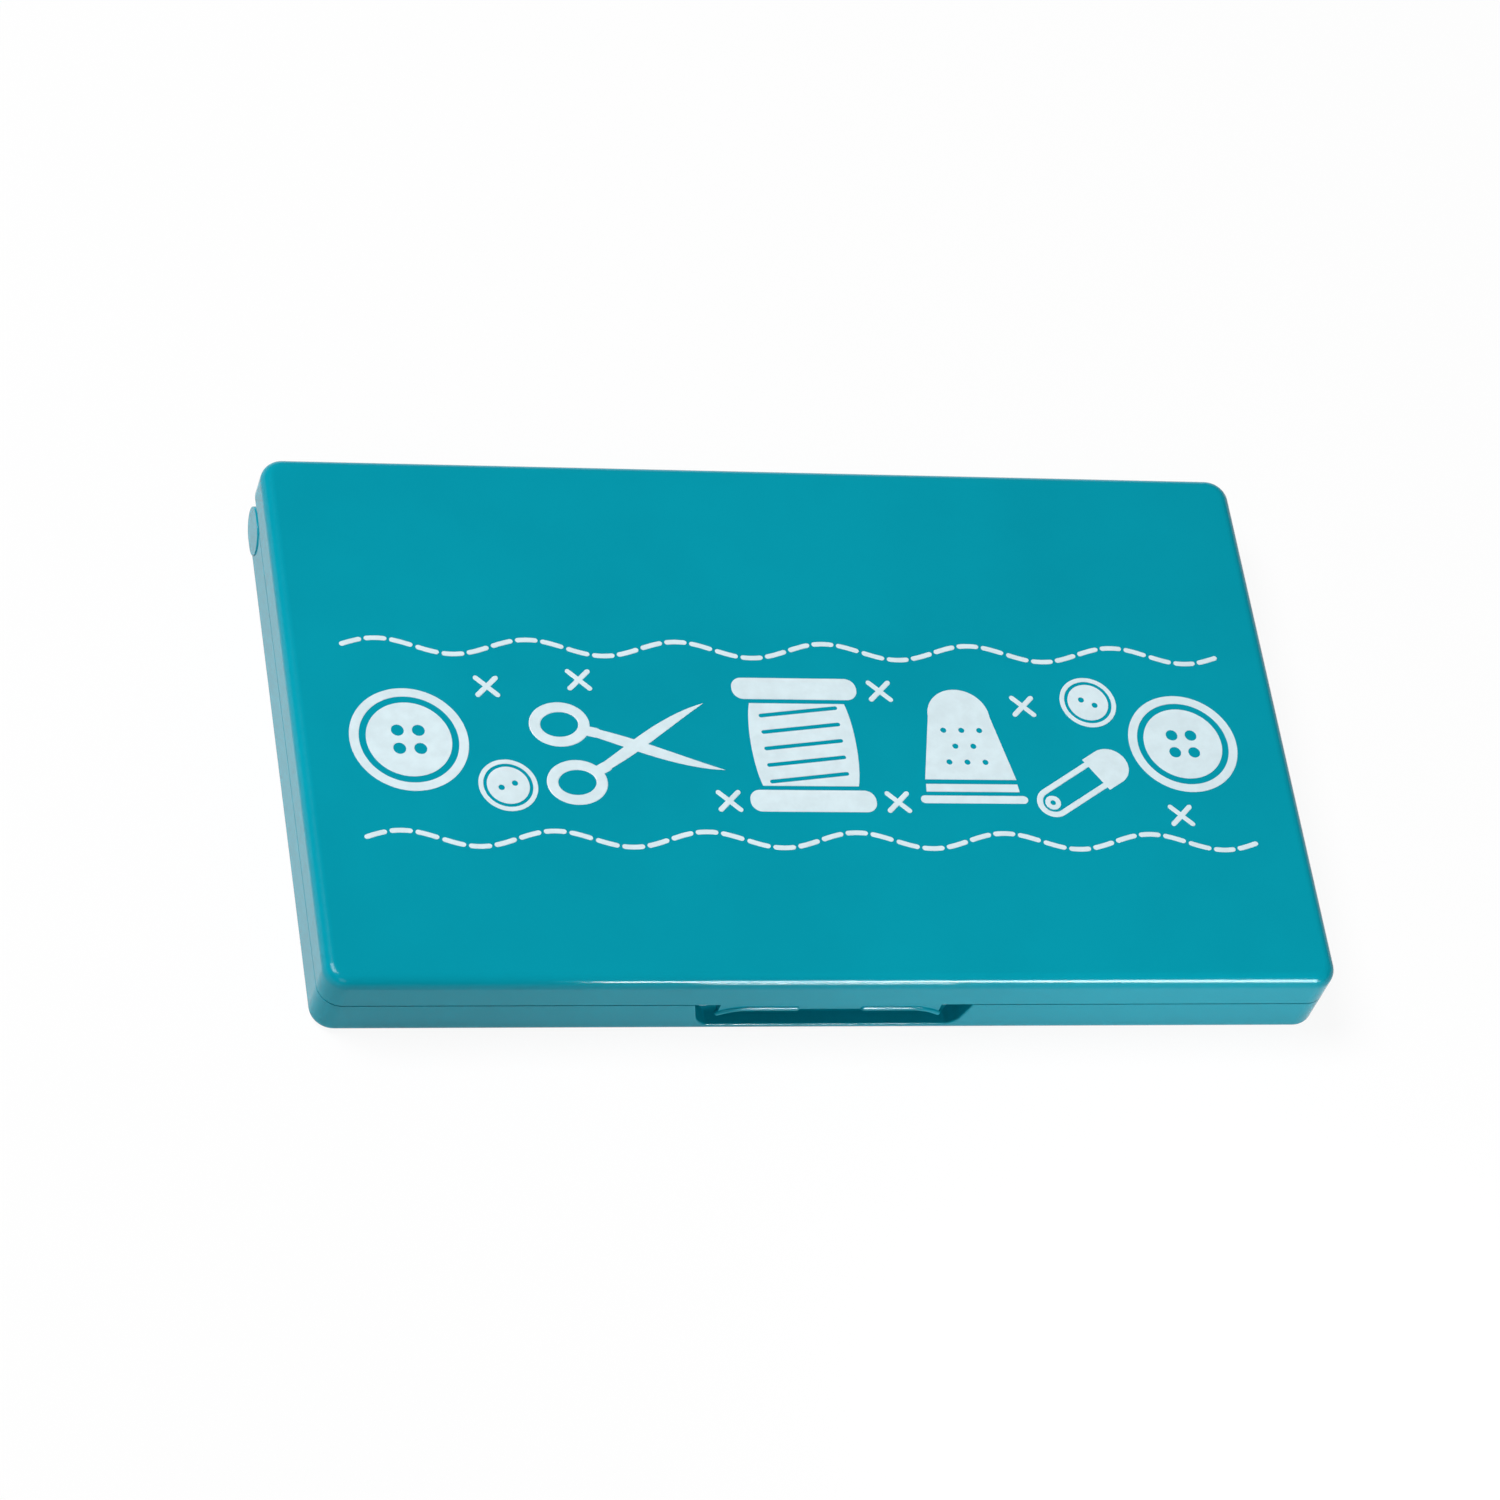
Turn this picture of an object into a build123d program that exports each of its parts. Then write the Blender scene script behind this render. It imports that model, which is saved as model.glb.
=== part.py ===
"""Magnetic needle case: a shallow moulded base and lid, pinned together at the back.

Millimetres. X runs along the case, Y from the thumb recess to the hinge, Z up. The origin is
the middle of the footprint, on the underside.
"""

from build123d import *
from math import acos, cos, hypot, sin
import os

os.makedirs("parts", exist_ok=True)

# Outside of the closed case
case_length = 114.0
case_depth = 68.0
case_height = 10.0
base_height = 5.3
parting_gap = 0.15
corner_radius = 2.6
lid_edge_radius = 1.35
base_edge_radius = 1.05

# Walls of the two shells
lid_ceiling = 1.4
lid_wall = 1.6
lid_back_wall = 1.5
base_floor = 1.4
base_corner_radius = 1.5
cross_wall = 1.2

# Tongue on the base that steps up inside the lid's walls
tongue_wall = 0.9
tongue_gap = 0.2
tongue_rise = 1.0
tongue_back_gap = 6.0

# Hinge at the back corners
axis_setback = 4.8
ear_lift = 0.5
barrel_gap = 0.17
barrel_wall = 1.4
outer_ear = 1.7
inner_ear = 2.0
boss_proud = 0.12
boss_reach = 0.9
boss_edge_radius = 0.08
lid_ear_width = 2.7
lid_ear_gap = 0.2
pocket_floor = 0.7

# Hinge pins
pin_radius = 0.8
pin_press_gap = 0.01
pin_running_gap = 0.05
pin_end_inset = 0.05
pin_end_wall = 0.5
pin_chamfer = 0.15

# Thumb recess in the base
recess_top_length = 31.4
recess_end_lean = 1.1
recess_depth = 2.8
recess_corner_radius = 2.2
recess_corner_dip = 0.1
recess_floor_radius = 1.2
recess_rim_radius = 0.18
recess_rim_flat = 0.05
recess_back_wall = 1.5
recess_end_wall = 2.0

# Lifting tab and snap on the lid
tab_length = 25.0
tab_drop = 2.3
tab_setback = 0.45
tab_root = 0.8
tab_lip_radius = 0.35
tab_lip_proud = 0.25
tab_lip_gap = 7.6
tab_end_length = 3.3
tab_end_drop = 1.0
tab_heel_drop = 0.1
bead_length = 10.0
bead_radius = 0.6
bead_drop = 1.15
ridge_proud = 0.55
ridge_height = 0.5
snap_gap = 0.1

# Magnetic linings
lining_gap = 1.3
lining_corner_radius = 2.0
adhesive_thickness = 0.1
magnet_thickness = 0.8
face_thickness = 0.1

# Places worked out from the sizes
half_length = case_length / 2
front = -case_depth / 2
back = case_depth / 2
lid_rim = base_height + parting_gap
ceiling = case_height - lid_ceiling
base_wall = lid_wall + tongue_gap + tongue_wall
ear_radius = (base_height - ear_lift) / 2
axis_y = back - axis_setback
axis_height = base_height - ear_radius
pocket_radius = axis_height - pocket_floor
lid_ear_radius = pocket_radius - lid_ear_gap
lid_back_reach = hypot(axis_setback - lid_back_wall, lid_rim - axis_height)
barrel_radius = lid_back_reach - barrel_gap
pocket_outer = half_length - outer_ear
pocket_inner = pocket_outer - lid_ear_width - 2 * lid_ear_gap
inner_ear_start = pocket_inner - inner_ear
lid_ear_outer = pocket_outer - lid_ear_gap
lid_ear_inner = pocket_inner + lid_ear_gap
cross_back = axis_y - pocket_radius
cross_front = cross_back - cross_wall
recess_lip_height = base_edge_radius + recess_rim_radius + recess_rim_flat
recess_back = front + recess_depth
recess_boss_back = recess_back + recess_back_wall
recess_boss_half = recess_top_length / 2 + recess_end_wall
tab_face = front + tab_setback
tab_back = front + lid_wall
tab_bottom = lid_rim - tab_drop
tab_lip_height = tab_bottom + tab_lip_radius
bead_tip = recess_back - ridge_proud - snap_gap
lining_length = case_length - 2 * base_wall - 2 * lining_gap
lining_depth = cross_front - recess_boss_back - 2 * lining_gap
lining_y = (recess_boss_back + cross_front) / 2
beyond = 1.0


def block(x0, x1, y0, y1, z0, z1):
    """Plain block between two corners."""
    middle = Pos((x0 + x1) / 2, (y0 + y1) / 2, (z0 + z1) / 2)
    return middle * Box(x1 - x0, y1 - y0, z1 - z0)


def slab(length, depth, radius, z0, z1, y=0.0):
    """Slab with rounded plan corners between two heights."""
    return extrude(Pos(0, y, z0) * RectangleRounded(length, depth, radius), z1 - z0)


def on_axis(radius, x0, x1):
    """Round bar on the hinge axis."""
    return Pos((x0 + x1) / 2, axis_y, axis_height) * Rot(0, 90, 0) * Cylinder(radius, x1 - x0)


def along_x(face, x0, x1):
    """Solid of a section drawn in Y and Z, from x0 to x1."""
    return extrude(Plane.YZ.offset(x0) * face, x1 - x0, dir=(1, 0, 0))


def along_y(face, y0, y1):
    """Solid of a section drawn in X and Z, from y0 to y1."""
    return extrude(Plane.XZ.offset(-y0) * face, y1 - y0, dir=(0, 1, 0))


def both_sides(piece):
    """A piece at the right side and its mirror image at the left."""
    return piece + mirror(piece, Plane.YZ)


def ear_section():
    """Side of an ear: round about the axis, and flat to the underside in front of it."""
    turn = acos(ear_radius / axis_height)
    touch = (axis_y + ear_radius * sin(turn), axis_height - ear_radius * cos(turn))
    low = (cross_front, 0)
    high = (cross_front, base_height)
    straight = Polygon(low, (axis_y, 0), touch, (axis_y, base_height), high, align=None)
    return straight + Pos(axis_y, axis_height) * Circle(ear_radius)


def base_outside():
    """Base as a full block, cut to the barrel and the ears behind the axis."""
    full = slab(case_length, case_depth, corner_radius, 0, base_height)
    full = fillet(full.edges().group_by(Axis.Z)[0], base_edge_radius)
    kept = block(-half_length, half_length, front, axis_y, 0, base_height)
    kept += on_axis(barrel_radius, -inner_ear_start, inner_ear_start)
    kept += both_sides(along_x(ear_section(), inner_ear_start, half_length))
    return full & kept


def tray():
    """Hollow of the base in front of the cross wall."""
    length = case_length - 2 * base_wall
    depth = cross_front - front - base_wall
    middle = (cross_front + front + base_wall) / 2
    return slab(length, depth, base_corner_radius, base_floor, base_height + beyond, middle)


def recess_boss():
    """Thicker wall that the thumb recess is sunk into."""
    start = front + base_wall / 2
    return block(-recess_boss_half, recess_boss_half, start, recess_boss_back, base_floor / 2, base_height)


def tongue():
    """Low wall that steps up inside the lid, open at the recess and at the hinge."""
    inset = lid_wall + tongue_gap
    radius = max(corner_radius - inset, base_corner_radius)
    top = base_height + tongue_rise
    ring = slab(case_length - 2 * inset, case_depth - 2 * inset, radius, base_height, top)
    ring &= block(-half_length, half_length, front, cross_back - tongue_back_gap, base_height, top)
    ring -= block(-recess_boss_half, recess_boss_half, front, 0, base_height, top)
    return ring - tray()


def barrel_trough():
    """Hollow between the cross wall and the barrel."""
    hollow = on_axis(barrel_radius - barrel_wall, -inner_ear_start, inner_ear_start)
    hollow += block(-inner_ear_start, inner_ear_start, cross_back, axis_y, base_floor, base_height)
    above = block(-inner_ear_start, inner_ear_start, cross_back, back, base_floor, base_height)
    return hollow & above


def ear_pocket():
    """Slot that a lid ear turns in, open above and behind."""
    pocket = on_axis(pocket_radius, pocket_inner, pocket_outer)
    pocket += block(pocket_inner, pocket_outer, cross_back, axis_y, axis_height, base_height)
    pocket += block(pocket_inner, pocket_outer, axis_y, back, 0, base_height)
    return pocket


def recess():
    """Scoop for a thumb nail: a flat floor that turns up into a back wall under the lid."""
    turn = recess_back - recess_floor_radius
    rise = recess_lip_height + recess_floor_radius
    above = base_height + beyond
    outside = front - beyond
    outline = CenterArc((turn, rise), recess_floor_radius, -90, 90)
    outline += Polyline((recess_back, rise), (recess_back, above), (outside, above))
    outline += Polyline((outside, above), (outside, recess_lip_height), (turn, recess_lip_height))
    half = recess_top_length / 2
    scoop = along_x(make_face(outline), -half, half)
    low = recess_lip_height - recess_corner_dip
    foot = ((-half + recess_end_lean, low), (half - recess_end_lean, low))
    ends = Polygon((-half, base_height), *foot, (half, base_height), align=None)
    ends = fillet(ends.vertices().group_by(Axis.Y)[0], recess_corner_radius)
    return scoop & along_y(ends, front - beyond, recess_boss_back)


def rounded_rim(shell):
    """The shell with the recess's edge on the front face rounded over."""
    rim = shell.edges().filter_by_position(Axis.Y, front - recess_rim_flat, front + recess_rim_flat)
    rim = rim.filter_by_position(Axis.X, -recess_boss_half, recess_boss_half)
    low = recess_lip_height - recess_rim_flat
    high = base_height - recess_rim_flat
    rim = rim.filter_by_position(Axis.Z, low, high)
    return fillet(rim, recess_rim_radius)


def snap_ridge():
    """Ridge in the recess that the lid's bead rides under."""
    tip = recess_back - ridge_proud
    root = (recess_back + recess_boss_back) / 2
    low = base_height - ridge_height
    peak = (tip, base_height - ridge_height / 2)
    foot = ((root, low), (recess_back, low))
    head = ((recess_back, base_height), (root, base_height))
    section = Polygon(*foot, peak, *head, align=None)
    return along_x(section, -bead_length / 2, bead_length / 2)


def hinge_boss():
    """Low pad over a pin's outer end, drawn out towards the front."""
    pad = Pos(axis_y, axis_height) * Circle(ear_radius)
    pad += Pos(axis_y - boss_reach / 2, axis_height) * Rectangle(boss_reach, 2 * ear_radius)
    pad += Pos(axis_y - boss_reach, axis_height) * Circle(ear_radius)
    boss = along_x(pad, pocket_outer, half_length + boss_proud)
    return fillet(boss.edges().group_by(Axis.X)[-1], boss_edge_radius)


def base_shell():
    """Base with its tray, tongue, recess, barrel, ears and hinge bosses."""
    shell = base_outside() - tray() + recess_boss() + tongue()
    shell -= barrel_trough()
    shell -= both_sides(ear_pocket())
    shell = rounded_rim(shell - recess())
    shell += snap_ridge()
    shell += both_sides(hinge_boss())
    hole = on_axis(pin_radius + pin_press_gap, inner_ear_start, half_length - pin_end_wall)
    return shell - both_sides(hole)


def lid_ear():
    """Ear that hangs from the lid into a pocket of the base, joined to the lid's side wall."""
    y0 = axis_y - lid_ear_radius
    y1 = axis_y + lid_ear_radius
    ear = on_axis(lid_ear_radius, lid_ear_inner, lid_ear_outer)
    ear += block(lid_ear_inner, lid_ear_outer, y0, y1, axis_height, ceiling)
    ear += block(lid_ear_outer, half_length - lid_wall, y0, y1, lid_rim, ceiling)
    return ear


def tab_lip():
    """Round lip along half of the tab's lower edge, which turns down at the end."""
    y = tab_face + tab_lip_radius
    start = (tab_lip_gap / 2, y, tab_lip_height)
    bend = (tab_length / 2 - tab_end_length, y, tab_lip_height)
    end = (tab_length / 2, y, tab_lip_height - tab_end_drop)
    path = Line(start, bend) + TangentArc(bend, end, tangent=(1, 0, 0))
    lip = sweep(Plane(origin=start, z_dir=(1, 0, 0)) * Circle(tab_lip_radius), path=path)
    return lip + Pos(*start) * Sphere(tab_lip_radius) + Pos(*end) * Sphere(tab_lip_radius)


def lifting_tab():
    """Tab below the lid's front rim, with a lip along each half of its lower edge."""
    half = tab_length / 2
    bend = half - tab_end_length
    edge = tab_lip_height - tab_heel_drop
    low = edge - tab_end_drop
    root = lid_rim + tab_root
    outline = Polyline((-half, low), (-half, root), (half, root), (half, low))
    outline += TangentArc((bend, edge), (half, low), tangent=(1, 0))
    outline += Line((bend, edge), (-bend, edge))
    outline += TangentArc((-bend, edge), (-half, low), tangent=(-1, 0))
    tab = along_y(make_face(outline), tab_face + tab_lip_proud, tab_back)
    return tab + both_sides(tab_lip())


def snap_bead():
    """Bead on the back of the tab."""
    centre = Pos(0, bead_tip - bead_radius, lid_rim - bead_drop)
    bar = centre * Rot(0, 90, 0) * Cylinder(bead_radius, bead_length)
    return bar & block(-bead_length / 2, bead_length / 2, tab_back, bead_tip, tab_bottom, lid_rim)


def lid_shell():
    """Lid with its rim, ears, lifting tab and snap bead."""
    shell = slab(case_length, case_depth, corner_radius, lid_rim, case_height)
    shell = fillet(shell.edges().group_by(Axis.Z)[-1], lid_edge_radius)
    length = case_length - 2 * lid_wall
    depth = case_depth - lid_wall - lid_back_wall
    middle = (lid_wall - lid_back_wall) / 2
    shell -= slab(length, depth, corner_radius - lid_wall, lid_rim, ceiling, middle)
    shell += both_sides(lid_ear()) + lifting_tab() + snap_bead()
    hole = on_axis(pin_radius + pin_running_gap, lid_ear_inner, lid_ear_outer)
    return shell - both_sides(hole)


def hinge_pin():
    """Steel pin at the right side, chamfered at both ends."""
    outer_end = half_length - pin_end_wall - pin_end_inset
    pin = on_axis(pin_radius, inner_ear_start + pin_end_inset, outer_end)
    return chamfer(pin.edges().filter_by(GeomType.CIRCLE), pin_chamfer)


def lining_sheet(z0, thickness):
    """One flat layer of a magnetic lining."""
    return slab(lining_length, lining_depth, lining_corner_radius, z0, z0 + thickness, lining_y)


def write(shape, node):
    """Write one piece."""
    export_step(shape, f"parts/{node}.step")


write(base_shell(), "base_shell")
write(lid_shell(), "lid_shell")
right_pin = hinge_pin()
write(right_pin, "hinge_pin_right")
write(mirror(right_pin, Plane.YZ), "hinge_pin_left")

base_magnet_z = base_floor + adhesive_thickness
write(lining_sheet(base_floor, adhesive_thickness), "base_adhesive_film")
write(lining_sheet(base_magnet_z, magnet_thickness), "base_magnet_sheet")
write(lining_sheet(base_magnet_z + magnet_thickness, face_thickness), "base_face_film")

lid_magnet_z = ceiling - adhesive_thickness - magnet_thickness
write(lining_sheet(ceiling - adhesive_thickness, adhesive_thickness), "lid_adhesive_film")
write(lining_sheet(lid_magnet_z, magnet_thickness), "lid_magnet_sheet")
write(lining_sheet(lid_magnet_z - face_thickness, face_thickness), "lid_face_film")
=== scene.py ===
"""Looks of a magnetic needle case: glossy plastic shells, magnetic linings, hinge pins and a
stitched ornament printed on the lid, in a plain white studio. Lengths are in metres."""

import math

import bmesh
import bpy
from bpy.props import FloatProperty, FloatVectorProperty, PointerProperty
from mathutils import Matrix, Vector


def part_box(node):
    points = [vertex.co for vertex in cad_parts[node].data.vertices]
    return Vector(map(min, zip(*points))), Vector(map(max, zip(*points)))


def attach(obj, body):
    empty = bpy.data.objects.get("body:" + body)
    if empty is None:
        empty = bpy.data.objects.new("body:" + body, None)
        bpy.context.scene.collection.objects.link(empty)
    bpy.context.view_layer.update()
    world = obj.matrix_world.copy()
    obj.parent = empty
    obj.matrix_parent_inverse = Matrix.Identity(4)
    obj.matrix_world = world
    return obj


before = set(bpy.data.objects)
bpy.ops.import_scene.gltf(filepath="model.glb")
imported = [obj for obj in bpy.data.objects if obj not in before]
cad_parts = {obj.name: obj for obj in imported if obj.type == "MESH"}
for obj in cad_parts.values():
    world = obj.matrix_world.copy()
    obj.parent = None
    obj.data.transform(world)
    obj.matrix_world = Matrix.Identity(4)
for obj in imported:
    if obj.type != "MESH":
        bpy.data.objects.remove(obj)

bl_info = {
    "name": "Magnetic needle case",
    "version": (1, 0, 0),
    "blender": (4, 5, 0),
    "location": "View3D > Sidebar > Needle case",
    "description": "Finishes, lid ornament and studio of a hinged magnetic needle case",
    "category": "Object",
}

MM = 0.001
LID_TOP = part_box("lid_shell")[1].z


class NeedleCaseFinishes(bpy.types.PropertyGroup):
    """Colours and surface values of the case's materials."""

    plastic_colour: FloatVectorProperty(
        name="Plastic", description="Colour of the moulded shells",
        subtype="COLOR", size=3, min=0, max=1, default=(0.0005, 0.300, 0.395),
    )
    plastic_shade: FloatVectorProperty(
        name="Plastic shade", description="Slightly deeper colour of the plastic's faint mottling",
        subtype="COLOR", size=3, min=0, max=1, default=(0.0003, 0.280, 0.372),
    )
    plastic_ior: FloatProperty(
        name="Plastic gloss index", description="Refractive index, which sets how strongly the gloss mirrors",
        default=1.25, min=1.0, max=2.0,
    )
    ink_colour: FloatVectorProperty(
        name="Ink", description="Colour of the printed ornament",
        subtype="COLOR", size=3, min=0, max=1, default=(0.70, 0.84, 0.89),
    )
    film_colour: FloatVectorProperty(
        name="Lining face", description="Colour of the vinyl face of the magnetic linings",
        subtype="COLOR", size=3, min=0, max=1, default=(0.80, 0.80, 0.77),
    )
    magnet_colour: FloatVectorProperty(
        name="Magnet", description="Colour of the rubber-bonded magnet, seen at its edges",
        subtype="COLOR", size=3, min=0, max=1, default=(0.018, 0.015, 0.013),
    )
    adhesive_colour: FloatVectorProperty(
        name="Adhesive", description="Colour of the adhesive film under the linings",
        subtype="COLOR", size=3, min=0, max=1, default=(0.62, 0.56, 0.42),
    )
    steel_colour: FloatVectorProperty(
        name="Pin steel", description="Colour of the hinge pins",
        subtype="COLOR", size=3, min=0, max=1, default=(0.56, 0.56, 0.58),
    )


class NeedleCaseOrnament(bpy.types.PropertyGroup):
    """Sizes of the ornament printed on the lid."""

    centre_y: FloatProperty(
        name="Centre", description="Place of the ornament's middle, measured towards the hinge",
        default=-3.5 * MM, unit="LENGTH",
    )
    bold: FloatProperty(
        name="Bold stroke", description="Width of the outlines", default=1.05 * MM, unit="LENGTH",
    )
    fine: FloatProperty(
        name="Fine stroke", description="Width of the inner lines", default=0.62 * MM, unit="LENGTH",
    )
    ink_height: FloatProperty(
        name="Ink height", description="How far the ink stands above the lid",
        default=0.03 * MM, unit="LENGTH",
    )
    ink_root: FloatProperty(
        name="Ink root", description="How far the ink reaches into the lid's surface",
        default=0.01 * MM, unit="LENGTH",
    )


class NeedleCaseStudio(bpy.types.PropertyGroup):
    """Camera, lamps and floor."""

    camera_place: FloatVectorProperty(
        name="Camera", description="Place of the camera", subtype="TRANSLATION", size=3,
        default=(-0.1933, -0.3534, 0.5464),
    )
    camera_right: FloatVectorProperty(
        name="Camera right", description="Direction to the right of the picture", subtype="DIRECTION",
        size=3, default=(0.9598, -0.1451, 0.2402),
    )
    camera_up: FloatVectorProperty(
        name="Camera up", description="Direction to the top of the picture", subtype="DIRECTION",
        size=3, default=(-0.0090, 0.8395, 0.5433),
    )
    lens: FloatProperty(
        name="Lens", description="Focal length in millimetres on a 36 mm sensor", default=145.9, min=1,
    )
    floor_size: FloatProperty(
        name="Floor", description="Side of the floor", default=5.0, unit="LENGTH",
    )
    floor_lift: FloatProperty(
        name="Floor lift", description="Share of plain white in what the floor shows",
        default=0.92, min=0, max=1, subtype="FACTOR",
    )
    room_grey: FloatProperty(
        name="Room", description="Grey of the room above its pale horizon", default=0.1, min=0, max=1,
    )
    key_glow: FloatProperty(
        name="Key lamp", description="Radiance of the large lamp above, a little to the left",
        default=15.2, min=0,
    )
    front_glow: FloatProperty(
        name="Front lamp", description="Radiance of the soft weak lamp at the front left",
        default=2.2, min=0,
    )
    fill_glow: FloatProperty(
        name="Fill lamp", description="Radiance of the lamp that lightens the front, more at its right",
        default=4.0, min=0,
    )
    edge_glow: FloatProperty(
        name="Edge lamp", description="Radiance of the strip lamp that the lid's front edge mirrors",
        default=70.0, min=0,
    )
    lip_glow: FloatProperty(
        name="Lip lamp", description="Radiance of the strip lamp that the lifting tab's lips mirror",
        default=150.0, min=0,
    )


class NeedleCaseSettings(bpy.types.PropertyGroup):
    """Everything that can be set on the case."""

    finishes: PointerProperty(type=NeedleCaseFinishes)
    ornament: PointerProperty(type=NeedleCaseOrnament)
    studio: PointerProperty(type=NeedleCaseStudio)


class Recipe:
    """A material's node tree, with short calls for its nodes."""

    # Middle range of a noise that is spread over two values, or over two tones
    SPAN = (0.3, 0.7)
    BLEND = (0.35, 0.65)

    def __init__(self, name):
        self.material = bpy.data.materials.new(name)
        self.material.use_nodes = True
        tree = self.material.node_tree
        tree.nodes.clear()
        self.nodes = tree.nodes
        self.links = tree.links
        self.shader = self.node("ShaderNodeBsdfPrincipled")
        self.output = self.node("ShaderNodeOutputMaterial")
        self.link(self.shader, "BSDF", self.output, "Surface")

    def node(self, kind, **values):
        """A node with its sockets or settings filled in."""
        made = self.nodes.new(kind)
        for key, value in values.items():
            if key in made.inputs:
                made.inputs[key].default_value = value
            else:
                setattr(made, key, value)
        return made

    def link(self, source, output, target, socket):
        """A wire from one node's output to another's input."""
        self.links.new(source.outputs[output], target.inputs[socket])

    def noise(self, scale, detail=3.0, stretch=(1, 1, 1)):
        """Noise in object space, stretched along the axes."""
        place = self.node("ShaderNodeTexCoord")
        mapping = self.node("ShaderNodeMapping")
        mapping.inputs["Scale"].default_value = stretch
        texture = self.node("ShaderNodeTexNoise", Scale=scale, Detail=detail, Roughness=0.55)
        self.link(place, "Object", mapping, "Vector")
        self.link(mapping, "Vector", texture, "Vector")
        return texture

    def span(self, texture, low, high):
        """A texture's middle range mapped to two values."""
        mapped = self.node("ShaderNodeMapRange")
        for socket, value in zip(("From Min", "From Max", "To Min", "To Max"), (*self.SPAN, low, high)):
            mapped.inputs[socket].default_value = value
        self.link(texture, "Fac", mapped, "Value")
        return mapped

    def tones(self, texture, dark, light):
        """Two close tones of the base colour, blended by a texture."""
        ramp = self.node("ShaderNodeValToRGB")
        for stop, place, colour in zip(ramp.color_ramp.elements, self.BLEND, (dark, light)):
            stop.position = place
            stop.color = (*colour, 1)
        self.link(texture, "Fac", ramp, "Fac")
        self.link(ramp, "Color", self.shader, "Base Color")

    def relief(self, texture, height, strength, before=None):
        """Bump of a real height, after an earlier bump if there is one."""
        bump = self.node("ShaderNodeBump", Strength=strength, Distance=height)
        self.link(texture, "Fac", bump, "Height")
        if before:
            self.link(before, "Normal", bump, "Normal")
        self.link(bump, "Normal", self.shader, "Normal")
        return bump

    def set(self, **values):
        """Values that are the same all over the surface."""
        for name, value in values.items():
            self.shader.inputs[name.replace("_", " ")].default_value = value


def finishes():
    """The finish settings of the scene."""
    return bpy.context.scene.needle_case.finishes


def put_on(node, material):
    """One material on a carried-over node."""
    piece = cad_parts[node]
    piece.data.materials.clear()
    piece.data.materials.append(material)


def plastic():
    """Glossy moulded plastic: faint mottling, a slow ripple and hairline marks from handling."""
    recipe = Recipe("glossy_teal_plastic")
    colours = finishes()
    recipe.set(IOR=colours.plastic_ior)
    mottle = recipe.noise(45, detail=4)
    recipe.tones(mottle, colours.plastic_shade, colours.plastic_colour)
    hairs = recipe.noise(260, detail=6, stretch=(1, 9, 1))
    gloss = recipe.span(hairs, 0.11, 0.17)
    recipe.link(gloss, "Result", recipe.shader, "Roughness")
    ripple = recipe.relief(recipe.noise(70, detail=1), 0.02 * MM, 0.12)
    recipe.relief(hairs, 0.002 * MM, 0.3, ripple)
    return recipe.material


def steel():
    """Drawn steel wire: fine lines round the pin."""
    recipe = Recipe("drawn_pin_steel")
    recipe.set(Metallic=1.0)
    colour = finishes().steel_colour
    lines = recipe.noise(900, detail=4, stretch=(6, 1, 1))
    recipe.tones(lines, [c * 0.82 for c in colour], colour)
    gloss = recipe.span(lines, 0.24, 0.42)
    recipe.link(gloss, "Result", recipe.shader, "Roughness")
    recipe.relief(lines, 0.004 * MM, 0.5)
    return recipe.material


def vinyl():
    """Satin white vinyl face of a magnetic sheet, with a fine calendered grain."""
    recipe = Recipe("satin_white_vinyl")
    colour = finishes().film_colour
    recipe.set(IOR=1.48)
    cloud = recipe.noise(38, detail=4)
    recipe.tones(cloud, [c * 0.955 for c in colour], colour)
    grain = recipe.noise(1500, detail=2)
    gloss = recipe.span(grain, 0.34, 0.48)
    recipe.link(gloss, "Result", recipe.shader, "Roughness")
    wave = recipe.relief(cloud, 0.05 * MM, 0.3)
    recipe.relief(grain, 0.01 * MM, 0.35, wave)
    return recipe.material


def magnet_rubber():
    """Dark rubber filled with magnetic powder, sawn at its edges."""
    recipe = Recipe("magnet_rubber")
    colour = finishes().magnet_colour
    powder = recipe.noise(2200, detail=3)
    recipe.tones(powder, colour, [c * 2.2 for c in colour])
    gloss = recipe.span(powder, 0.6, 0.85)
    recipe.link(gloss, "Result", recipe.shader, "Roughness")
    recipe.relief(powder, 0.02 * MM, 0.6)
    return recipe.material


def adhesive():
    """Thin tan adhesive film with trapped air at places."""
    recipe = Recipe("adhesive_film")
    colour = finishes().adhesive_colour
    bubbles = recipe.noise(420, detail=2)
    recipe.tones(bubbles, [c * 0.8 for c in colour], colour)
    gloss = recipe.span(bubbles, 0.25, 0.5)
    recipe.link(gloss, "Result", recipe.shader, "Roughness")
    recipe.relief(bubbles, 0.01 * MM, 0.4)
    return recipe.material


def ink():
    """Opaque off-white pad-printing ink, a little uneven in cover and gloss."""
    recipe = Recipe("off_white_ink")
    colour = finishes().ink_colour
    cover = recipe.noise(650, detail=5)
    recipe.tones(cover, [c * 0.93 for c in colour], colour)
    gloss = recipe.span(cover, 0.3, 0.46)
    recipe.link(gloss, "Result", recipe.shader, "Roughness")
    recipe.relief(cover, 0.006 * MM, 0.4)
    return recipe.material


class NEEDLECASE_OT_shells(bpy.types.Operator):
    """Finish the base and the lid in glossy plastic"""

    bl_idname = "needle_case.shells"
    bl_label = "Shells"

    def execute(self, context):
        material = plastic()
        for node in ("base_shell", "lid_shell"):
            put_on(node, material)
        return {"FINISHED"}


class NEEDLECASE_OT_linings(bpy.types.Operator):
    """Finish the magnetic linings, layer by layer"""

    bl_idname = "needle_case.linings"
    bl_label = "Magnetic linings"

    def execute(self, context):
        layers = {"face_film": vinyl(), "magnet_sheet": magnet_rubber(), "adhesive_film": adhesive()}
        for half in ("base", "lid"):
            for layer, material in layers.items():
                put_on(f"{half}_{layer}", material)
        return {"FINISHED"}


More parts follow.
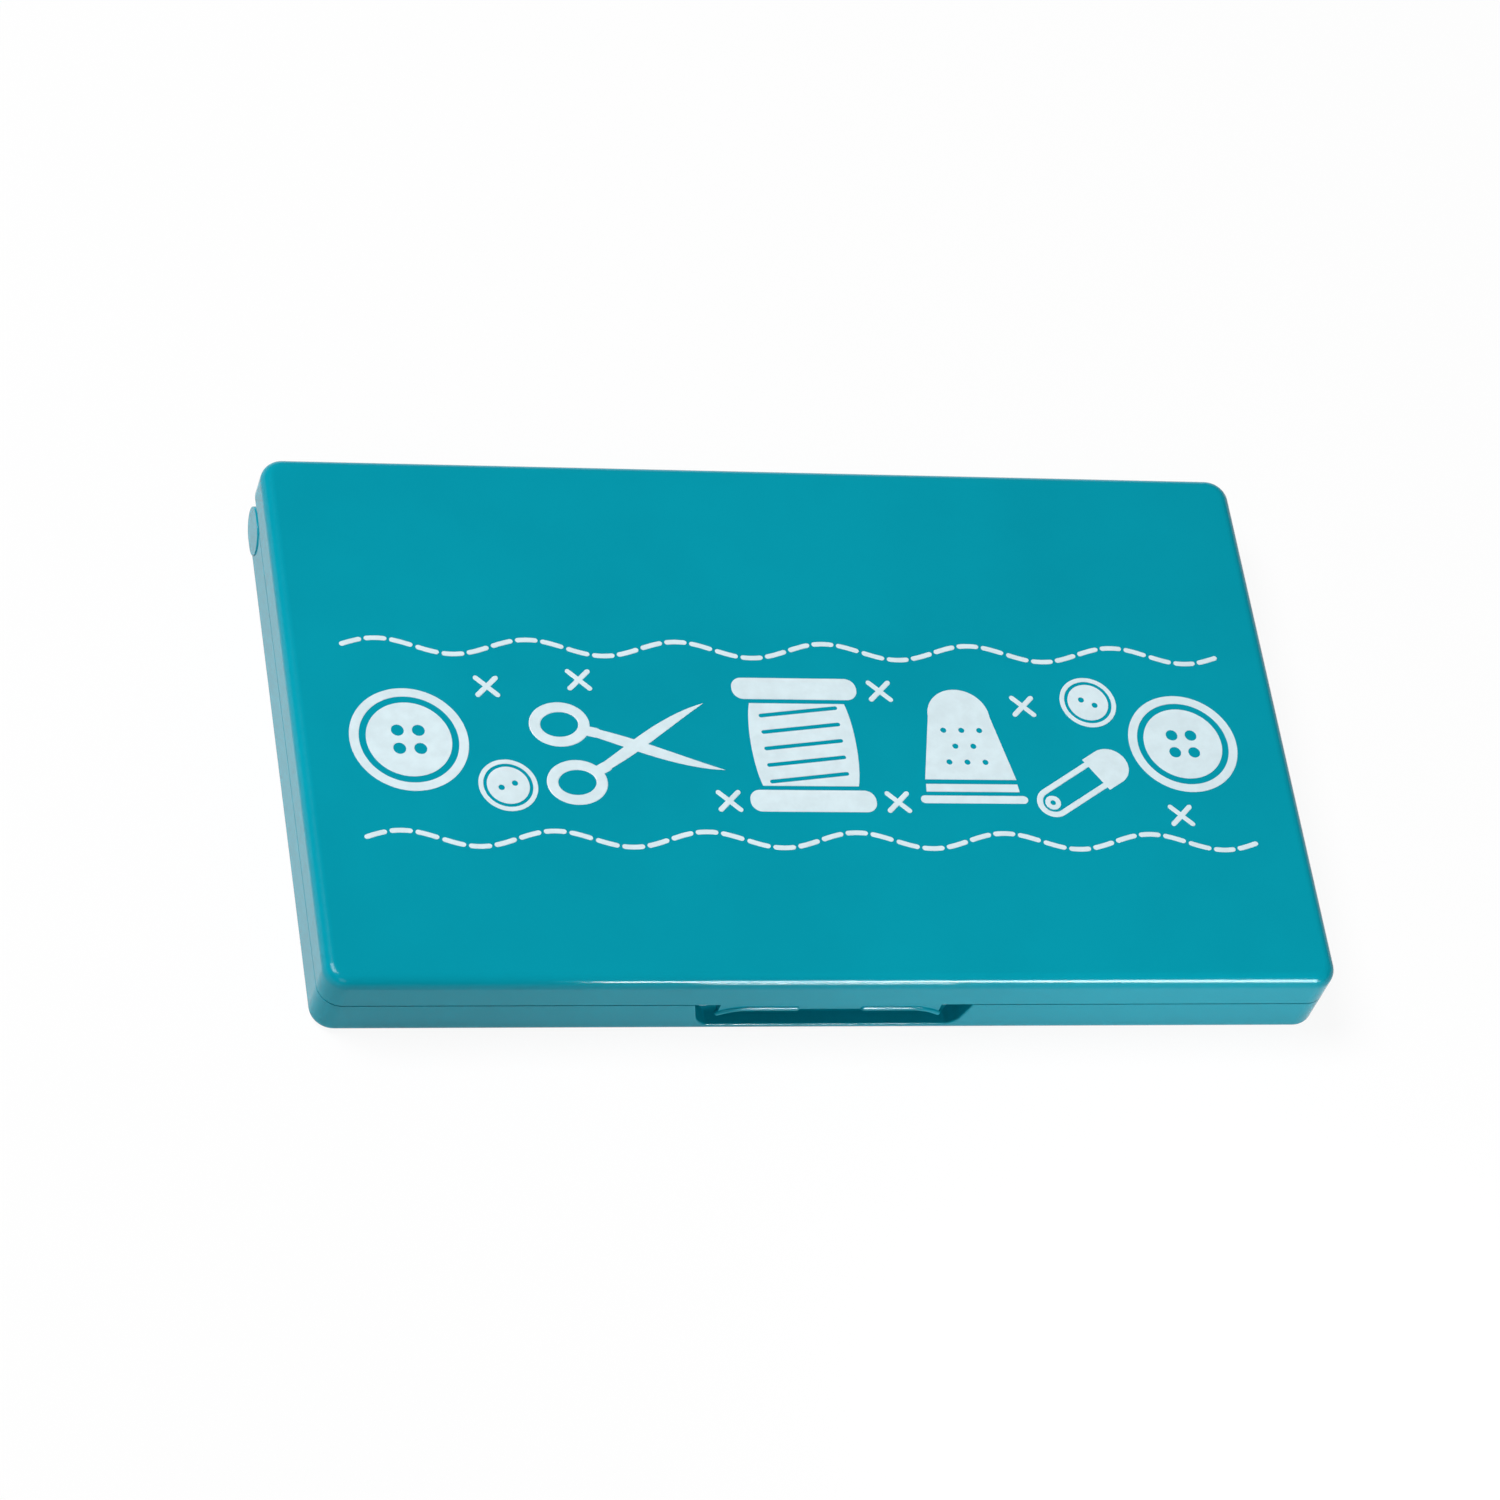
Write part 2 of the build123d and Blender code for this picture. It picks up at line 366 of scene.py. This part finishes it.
class NEEDLECASE_OT_pins(bpy.types.Operator):
    """Finish the two hinge pins in steel"""

    bl_idname = "needle_case.pins"
    bl_label = "Hinge pins"

    def execute(self, context):
        material = steel()
        for side in ("left", "right"):
            put_on(f"hinge_pin_{side}", material)
        return {"FINISHED"}


def arc(x, y, radius, start=0.0, end=360.0, flat=1.0):
    """Points of an arc in millimetres, angles in degrees; flat squeezes it along Y."""
    fewest, extra, coarseness = 8, 6, 25
    steps = max(fewest, int(abs(end - start) * radius / coarseness) + extra)
    points = []
    for i in range(steps + 1):
        turn = math.radians(start + (end - start) * i / steps)
        points.append((x + radius * math.cos(turn), y + flat * radius * math.sin(turn)))
    return points


def ring(x, y, radius, flat=1.0):
    """Points of a closed circle or ellipse."""
    return arc(x, y, radius, 0, 360, flat)[:-1]


def bend(start, first, second, end, steps=18):
    """Points of a cubic curve."""
    points = []
    for i in range(steps + 1):
        t = i / steps
        u = 1 - t
        weights = (u ** 3, 3 * u * u * t, 3 * u * t * t, t ** 3)
        corners = (start, first, second, end)
        points.append(tuple(sum(w * c[k] for w, c in zip(weights, corners)) for k in (0, 1)))
    return points


def placed(points, x, y, lean):
    """Points turned by an angle in degrees and moved to a place."""
    turn = math.radians(lean)
    c, s = math.cos(turn), math.sin(turn)
    return [(x + px * c - py * s, y + px * s + py * c) for px, py in points]


class InkPrint:
    """Shapes of ink on the lid, gathered into one mesh."""

    # Steps of a stroke's round end, and the turn in degrees at which it is cut off flat
    CAP_STEPS = 5
    CAP_TURN = 84
    # Share of a stroke's width that is left at its top
    SHOULDER = 0.86
    # Step in height between shapes, and after how many shapes it starts again
    LAYER = 0.0012 * MM
    LAYERS = 7
    # Points closer than this are joined
    WELD = 0.0004 * MM

    def __init__(self, name):
        self.name = name
        self.settings = bpy.context.scene.needle_case.ornament
        self.mesh = bmesh.new()
        self.count = 0

    def heights(self):
        """Root and top of the next shape; shapes that cross are a hair apart in height."""
        layer = self.count % self.LAYERS * self.LAYER
        self.count += 1
        return LID_TOP - self.settings.ink_root, LID_TOP + self.settings.ink_height + layer

    def bold(self, points):
        """An open stroke of outline width."""
        self.stroke(points, self.settings.bold)

    def fine(self, points, closed=False):
        """A stroke of inner-line width."""
        self.stroke(points, self.settings.fine, closed)

    def stroke(self, points, width, closed=False):
        """A low closed ribbon of ink along points in millimetres, with round ends."""
        line = [Vector((x * MM, y * MM + self.settings.centre_y)) for x, y in points]
        halves = [width / 2] * len(line)
        if not closed:
            line, halves = self.capped(line, width / 2)
        root, top = self.heights()
        rows = []
        for i, (point, half) in enumerate(zip(line, halves)):
            side = self.across(line, i, closed) * half
            shoulder = side * self.SHOULDER
            places = ((side, root), (shoulder, top), (-shoulder, top), (-side, root))
            rows.append([self.mesh.verts.new((*(point + offset), z)) for offset, z in places])
        pairs = list(zip(rows, rows[1:]))
        if closed:
            pairs.append((rows[-1], rows[0]))
        for one, two in pairs:
            for k in range(len(one)):
                n = (k + 1) % len(one)
                self.mesh.faces.new((one[k], one[n], two[n], two[k]))
        if not closed:
            self.mesh.faces.new(rows[0][::-1])
            self.mesh.faces.new(rows[-1])

    def capped(self, line, half):
        """The line with a half-round run at each end."""
        start = (line[0] - line[1]).normalized()
        end = (line[-1] - line[-2]).normalized()
        head, tail = [], []
        for i in range(1, self.CAP_STEPS + 1):
            turn = math.radians(self.CAP_TURN * i / self.CAP_STEPS)
            reach, share = half * math.sin(turn), half * math.cos(turn)
            head.insert(0, (line[0] + start * reach, share))
            tail.append((line[-1] + end * reach, share))
        run = head + [(point, half) for point in line] + tail
        return [point for point, _ in run], [share for _, share in run]

    def across(self, line, i, closed):
        """Unit direction across the line at a point."""
        last = len(line) - 1
        before = line[i - 1] if i > 0 or closed else line[0]
        after = line[(i + 1) % len(line)] if i < last or closed else line[last]
        along = (after - before).normalized()
        return Vector((-along.y, along.x))

    def patch(self, outline, *holes):
        """A filled shape of ink with holes, all given as closed runs of points in millimetres."""
        root, top = self.heights()
        curve = bpy.data.curves.new("patch", "CURVE")
        curve.dimensions = "2D"
        curve.fill_mode = "BOTH"
        curve.extrude = (top - root) / 2
        for points in (outline, *holes):
            spline = curve.splines.new("POLY")
            spline.points.add(len(points) - 1)
            spline.use_cyclic_u = True
            for point, (x, y) in zip(spline.points, points):
                point.co = (x * MM, y * MM + self.settings.centre_y, 0, 1)
        shape = bpy.data.objects.new("patch", curve)
        data = bpy.data.meshes.new_from_object(shape)
        data.transform(Matrix.Translation((0, 0, (top + root) / 2)))
        self.mesh.from_mesh(data)
        bpy.data.objects.remove(shape)
        bpy.data.curves.remove(curve)
        bpy.data.meshes.remove(data)

    def finish(self, material):
        """The shapes as one piece on the lid."""
        bmesh.ops.remove_doubles(self.mesh, verts=self.mesh.verts, dist=self.WELD)
        bmesh.ops.recalc_face_normals(self.mesh, faces=self.mesh.faces)
        data = bpy.data.meshes.new(self.name)
        self.mesh.to_mesh(data)
        self.mesh.free()
        piece = bpy.data.objects.new(self.name, data)
        bpy.context.scene.collection.objects.link(piece)
        data.materials.append(material)
        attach(piece, "lid")


def button(sheet, x, y, radius, holes, turn):
    """A sewing button: a rim and a disc of ink, with the groove between and the holes left bare."""
    rim_inside = radius * 0.84
    disc = radius * 0.72
    hole_place = radius * 0.25
    hole = radius * 0.11
    bare = []
    for i in range(holes):
        angle = math.radians(turn + 360 * i / holes)
        bare.append(ring(x + hole_place * math.cos(angle), y + hole_place * math.sin(angle), hole))
    sheet.patch(ring(x, y, radius), ring(x, y, rim_inside))
    sheet.patch(ring(x, y, disc), *bare)


def thread_gap(x, y, half, thick, rise):
    """Closed run round a slanted bare gap with round ends."""
    lean = math.degrees(math.atan2(rise, 2 * half))
    length = math.hypot(half, rise / 2)
    ends = arc(length, 0, thick / 2, -90, 90) + arc(-length, 0, thick / 2, 90, 270)
    return placed(ends, x, y, lean)


def spool(sheet, x, y, half, height):
    """A spool seen from the side: solid flanges, and thread with bare gaps between its turns."""
    flange = height * 0.16
    corner = flange * 0.45
    for side in (-1, 1):
        middle = y + side * (height - flange) / 2
        reach, rise = half - corner, flange / 2 - corner
        plate = []
        for start, sx, sy in ((0, 1, 1), (90, -1, 1), (180, -1, -1), (270, 1, -1)):
            plate += arc(x + sx * reach, middle + sy * rise, corner, start, start + 90)
        sheet.patch(plate)
    barrel = half * 0.76
    bulge = barrel * 1.14
    room = height / 2 - flange - 0.55
    turns, inset, thick, slope = 5, 1.1, 0.5, 1.1
    gaps = []
    for i in range(turns):
        level = y - room + 2 * room * (i + 0.5) / turns
        gaps.append(thread_gap(x, level, barrel - inset, thick, slope))
    thread = []
    for side in (-1, 1):
        end, wide, tall = x + side * barrel, x + side * bulge, side * room
        thread += bend((end, y - tall), (wide, y - tall / 2), (wide, y + tall / 2), (end, y + tall))
    sheet.patch(thread, *gaps)


def scissors(sheet, x, y, length, spread, lean):
    """Open embroidery scissors: two solid blades, crossed at a rivet, with round bows."""
    rivet = length * 0.06
    handle = sheet.settings.bold * 1.25
    for side in (-1, 1):
        rise = side * spread
        tip = (length * 0.56, rise)
        outer_heel = (-length * 0.13, -rise * 0.42)
        inner_heel = (-length * 0.1, -rise * 0.62)
        outer = bend(outer_heel, (rivet, side * 0.2), (length * 0.3, rise * 0.8), tip)
        inner = bend(tip, (length * 0.32, rise * 0.42), (rivet * 2, -side * 0.9), inner_heel)
        sheet.patch(placed(outer + inner[1:], x, y, lean))
        bow = ring(-length * 0.29, -rise * 0.86, length * 0.14, 0.8)
        sheet.stroke(placed(bow, x, y, lean), handle, closed=True)
        shank = [(-length * 0.1, -rise * 0.5), (-length * 0.165, -rise * 0.62)]
        sheet.stroke(placed(shank, x, y, lean), handle)


def thimble(sheet, x, y, half, height):
    """A thimble: a solid domed cup with bare dimples above a bare line and a rolled rim."""
    low = y - height / 2
    cup_foot, band_top, band_foot, rim = low + 3.1, low + 2.5, low + 1.5, low + 0.5
    crown = half * 0.68
    shoulder = y + height / 2 - crown
    rows, first_row, pitch, dimple = 3, low + 5.4, 2.1, 0.36
    dimples = []
    for row in range(rows):
        dots = 3 - row % 2
        for i in range(dots):
            dimples.append(ring(x + (i - (dots - 1) / 2) * pitch, first_row + row * pitch, dimple))
    cup = [(x - half, cup_foot)] + arc(x, shoulder, crown, 180, 0) + [(x + half, cup_foot)]
    sheet.patch(cup, *dimples)
    flared, overhang = half + 0.1, half + 0.4
    band = [(x - half, band_top), (x + half, band_top), (x + flared, band_foot), (x - flared, band_foot)]
    sheet.patch(band)
    sheet.bold([(x - overhang, rim), (x + overhang, rim)])


def safety_pin(sheet, x, y, length, lean):
    """A closed safety pin: coil, two arms and a solid cap."""
    half, gap = length / 2, 1.6
    coil, arm_end = 1.2 - half, half - 2.0
    arms = [(arm_end, gap), (coil, gap)] + arc(coil, 0, gap, 90, 270) + [(coil, -gap), (arm_end, -gap)]
    sheet.stroke(placed(arms, x, y, lean), sheet.settings.fine * 1.15)
    sheet.fine(placed(ring(1.1 - half, 0, 0.62), x, y, lean), closed=True)
    reach = gap + 0.75
    cap_foot, cap_middle = half - 3.6, half - 1.6
    cap = [(cap_foot, -reach), (cap_middle, -reach)] + arc(cap_middle, 0, reach, -90, 90)
    cap += [(cap_middle, reach), (cap_foot, reach)]
    sheet.patch(placed(cap, x, y, lean))


def cross_stitch(sheet, x, y, reach):
    """One cross stitch."""
    sheet.fine([(x - reach, y - reach), (x + reach, y + reach)])
    sheet.fine([(x - reach, y + reach), (x + reach, y - reach)])


def running_stitches(sheet, half, y, swing, waves, dashes):
    """A wavy row of running stitches across the lid."""
    pitch = 2 * half / dashes
    start, dash, steps = 0.16, 0.68, 6
    for i in range(dashes):
        points = []
        for k in range(steps + 1):
            px = -half + (i + start + dash * k / steps) * pitch
            points.append((px, y + swing * math.sin(math.pi * waves * px / half)))
        sheet.fine(points)


class NEEDLECASE_OT_ornament(bpy.types.Operator):
    """Print the sewing ornament on the lid in off-white ink"""

    bl_idname = "needle_case.ornament"
    bl_label = "Lid ornament"

    def execute(self, context):
        material = ink()
        buttons = InkPrint("ink_buttons")
        button(buttons, -44.5, 0.2, radius=6.6, holes=4, turn=45)
        button(buttons, 44.5, 0.6, radius=6.4, holes=4, turn=45)
        button(buttons, -34.2, -5.6, radius=3.3, holes=2, turn=20)
        button(buttons, 34.2, 6.0, radius=3.3, holes=2, turn=-25)
        buttons.finish(material)
        tools = InkPrint("ink_tools")
        spool(tools, 0, 0, half=7.2, height=17.5)
        scissors(tools, -21.2, -0.6, length=20, spread=4.4, lean=8)
        thimble(tools, 18.6, 0, half=5.3, height=15)
        safety_pin(tools, 31.6, -4.8, length=11.5, lean=33)
        tools.finish(material)
        stitches = InkPrint("ink_stitches")
        for y in (12.4, -12.4):
            running_stitches(stitches, half=51, y=y, swing=1.0, waves=6, dashes=36)
        left_crosses = ((-35.0, 7.2), (-24.5, 8.2), (-9.6, -7.4))
        right_crosses = ((9.9, 7.2), (9.7, -7.4), (26.4, 5.4), (42.5, -8.9))
        for x, y in left_crosses + right_crosses:
            cross_stitch(stitches, x, y, reach=1.1)
        stitches.finish(material)
        return {"FINISHED"}


def aimed(place, right, back):
    """Placement of a camera or lamp, from its right side and the direction behind it."""
    back = Vector(back).normalized()
    up = back.cross(Vector(right)).normalized()
    right = up.cross(back)
    return Matrix.Translation(place) @ Matrix((right, up, back)).transposed().to_4x4()


def lamp(name, place, target, along, size, glow, spread=180):
    """An area lamp of a given radiance, out of the picture; spread narrows its beam, in degrees."""
    data = bpy.data.lights.new(name, "AREA")
    data.shape = "RECTANGLE"
    data.size, data.size_y = size
    data.spread = math.radians(spread)
    half = data.spread / 2
    data.energy = glow * math.pi * size[0] * size[1] * (1 - half / math.tan(half))
    made = bpy.data.objects.new(name, data)
    bpy.context.scene.collection.objects.link(made)
    made.matrix_world = aimed(place, along, Vector(place) - Vector(target))
    made.visible_camera = False
    return made


def seen_directly(nodes, links):
    """Socket that is 1 for rays from the camera, a mirror or glass, and 0 for the object's light."""
    rays = nodes.new("ShaderNodeLightPath")
    mirrored = nodes.new("ShaderNodeMath")
    seen = nodes.new("ShaderNodeMath")
    for node in (mirrored, seen):
        node.operation = "MAXIMUM"
    links.new(rays.outputs["Is Glossy Ray"], mirrored.inputs[0])
    links.new(rays.outputs["Is Transmission Ray"], mirrored.inputs[1])
    links.new(rays.outputs["Is Camera Ray"], seen.inputs[0])
    links.new(mirrored.outputs["Value"], seen.inputs[1])
    return seen.outputs["Value"]


def floor_material(lift):
    """White floor: mostly plain white where it is seen, with the object's soft shadow kept."""
    recipe = Recipe("white_floor")
    recipe.set(Roughness=0.8, IOR=1.2)
    paper = recipe.noise(30)
    shade, plain = 0.85, 0.87
    recipe.tones(paper, [shade] * 3, [plain] * 3)
    white = recipe.node("ShaderNodeEmission", Strength=1.0)
    mixed = recipe.node("ShaderNodeMixShader")
    share = recipe.node("ShaderNodeMath", operation="MULTIPLY")
    share.inputs[1].default_value = lift
    recipe.links.new(seen_directly(recipe.nodes, recipe.links), share.inputs[0])
    recipe.link(share, "Value", mixed, "Fac")
    recipe.link(recipe.shader, "BSDF", mixed, 1)
    recipe.link(white, "Emission", mixed, 2)
    recipe.link(mixed, "Shader", recipe.output, "Surface")
    return recipe.material


def room(grey):
    """World: plain even light, which is seen and mirrored as a pale horizon below a dim room."""
    pale, pale_height, grey_height = 0.95, 0.12, 0.2
    world = bpy.data.worlds.new("room")
    world.use_nodes = True
    nodes, links = world.node_tree.nodes, world.node_tree.links
    nodes.clear()
    place = nodes.new("ShaderNodeTexCoord")
    parts = nodes.new("ShaderNodeSeparateXYZ")
    ramp = nodes.new("ShaderNodeValToRGB")
    view = nodes.new("ShaderNodeBackground")
    light = nodes.new("ShaderNodeBackground")
    mixed = nodes.new("ShaderNodeMixShader")
    output = nodes.new("ShaderNodeOutputWorld")
    light.inputs["Color"].default_value = (grey, grey, grey, 1)
    for stop, height, tone in zip(ramp.color_ramp.elements, (pale_height, grey_height), (pale, grey)):
        stop.position = height
        stop.color = (tone, tone, tone, 1)
    links.new(place.outputs["Generated"], parts.inputs["Vector"])
    links.new(parts.outputs["Z"], ramp.inputs["Fac"])
    links.new(ramp.outputs["Color"], view.inputs["Color"])
    links.new(seen_directly(nodes, links), mixed.inputs["Fac"])
    links.new(light.outputs["Background"], mixed.inputs[1])
    links.new(view.outputs["Background"], mixed.inputs[2])
    links.new(mixed.outputs["Shader"], output.inputs["Surface"])
    bpy.context.scene.world = world


class NEEDLECASE_OT_stage(bpy.types.Operator):
    """Set up the camera, the lamps, the white floor and the room"""

    bl_idname = "needle_case.stage"
    bl_label = "Stage"

    def execute(self, context):
        scene = context.scene
        studio = scene.needle_case.studio
        self.camera(scene, studio)
        self.floor(studio)
        room(studio.room_grey)
        self.lamps(studio)
        scene.view_settings.view_transform = "Standard"
        return {"FINISHED"}

    def lamps(self, studio):
        """Two lamps, a fill that gloss does not see, and two strips that only gloss sees."""
        level = (1, 0, 0)
        slanted = (0.974, 0.195, -0.116)
        middle = (0, 0, 0.005)
        lamp("key_lamp", (-0.72, 0.30, 1.28), middle, level, size=(0.7, 0.7), glow=studio.key_glow)
        lamp("front_lamp", (-0.35, -0.85, 0.80), middle, level, size=(0.5, 0.5), glow=studio.front_glow)
        fill = lamp(
            "fill_lamp", (0.047, -0.104, 0.021), (0.042, -0.034, 0.006), level,
            size=(0.06, 0.04), glow=studio.fill_glow,
        )
        fill.visible_glossy = False
        edge = lamp(
            "edge_lamp", (0.022, -0.0510, 0.0200), (0.0158, -0.0342, 0.0100), slanted,
            size=(0.086, 0.0070), glow=studio.edge_glow, spread=36,
        )
        edge.visible_diffuse = False
        lips = lamp(
            "lip_lamp", (0.0064, -0.0595, 0.0131), (-0.002, -0.0337, 0.0032), level,
            size=(0.028, 0.006), glow=studio.lip_glow, spread=30,
        )
        lips.visible_diffuse = False

    def camera(self, scene, studio):
        """Camera at the photograph's place, with its lens."""
        data = bpy.data.cameras.new("camera")
        data.sensor_width = 36
        data.lens = studio.lens
        data.clip_start = 0.01
        data.clip_end = 20
        made = bpy.data.objects.new("camera", data)
        scene.collection.objects.link(made)
        back = Vector(studio.camera_right).cross(Vector(studio.camera_up))
        made.matrix_world = aimed(studio.camera_place, studio.camera_right, back)
        scene.camera = made

    def floor(self, studio):
        """Flat white floor at the case's underside."""
        half = studio.floor_size / 2
        data = bpy.data.meshes.new("floor")
        corners = [(-half, -half, 0), (half, -half, 0), (half, half, 0), (-half, half, 0)]
        data.from_pydata(corners, [], [(0, 1, 2, 3)])
        made = bpy.data.objects.new("floor", data)
        bpy.context.scene.collection.objects.link(made)
        data.materials.append(floor_material(studio.floor_lift))


class NEEDLECASE_PT_sidebar(bpy.types.Panel):
    """The case's settings and steps"""

    bl_label = "Needle case"
    bl_idname = "NEEDLECASE_PT_sidebar"
    bl_space_type = "VIEW_3D"
    bl_region_type = "UI"
    bl_category = "Needle case"

    def draw(self, context):
        layout = self.layout
        settings = context.scene.needle_case
        for group in (settings.finishes, settings.ornament, settings.studio):
            box = layout.box()
            for name in group.__annotations__:
                box.prop(group, name)
        for operator in OPERATORS:
            layout.operator(operator.bl_idname)


OPERATORS = (
    NEEDLECASE_OT_shells,
    NEEDLECASE_OT_linings,
    NEEDLECASE_OT_pins,
    NEEDLECASE_OT_ornament,
    NEEDLECASE_OT_stage,
)
GROUPS = (NeedleCaseFinishes, NeedleCaseOrnament, NeedleCaseStudio, NeedleCaseSettings)


def register():
    for kind in (*GROUPS, *OPERATORS, NEEDLECASE_PT_sidebar):
        bpy.utils.register_class(kind)
    bpy.types.Scene.needle_case = PointerProperty(type=NeedleCaseSettings)


def unregister():
    del bpy.types.Scene.needle_case
    for kind in reversed((*GROUPS, *OPERATORS, NEEDLECASE_PT_sidebar)):
        bpy.utils.unregister_class(kind)


def corners(bounds):
    """Two corners as plain lists."""
    return [list(corner) for corner in bounds]


def main():
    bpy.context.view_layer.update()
    register()
    bpy.ops.needle_case.shells()
    bpy.ops.needle_case.linings()
    bpy.ops.needle_case.pins()
    bpy.ops.needle_case.ornament()
    bpy.ops.needle_case.stage()


if __name__ == "__main__":
    main()
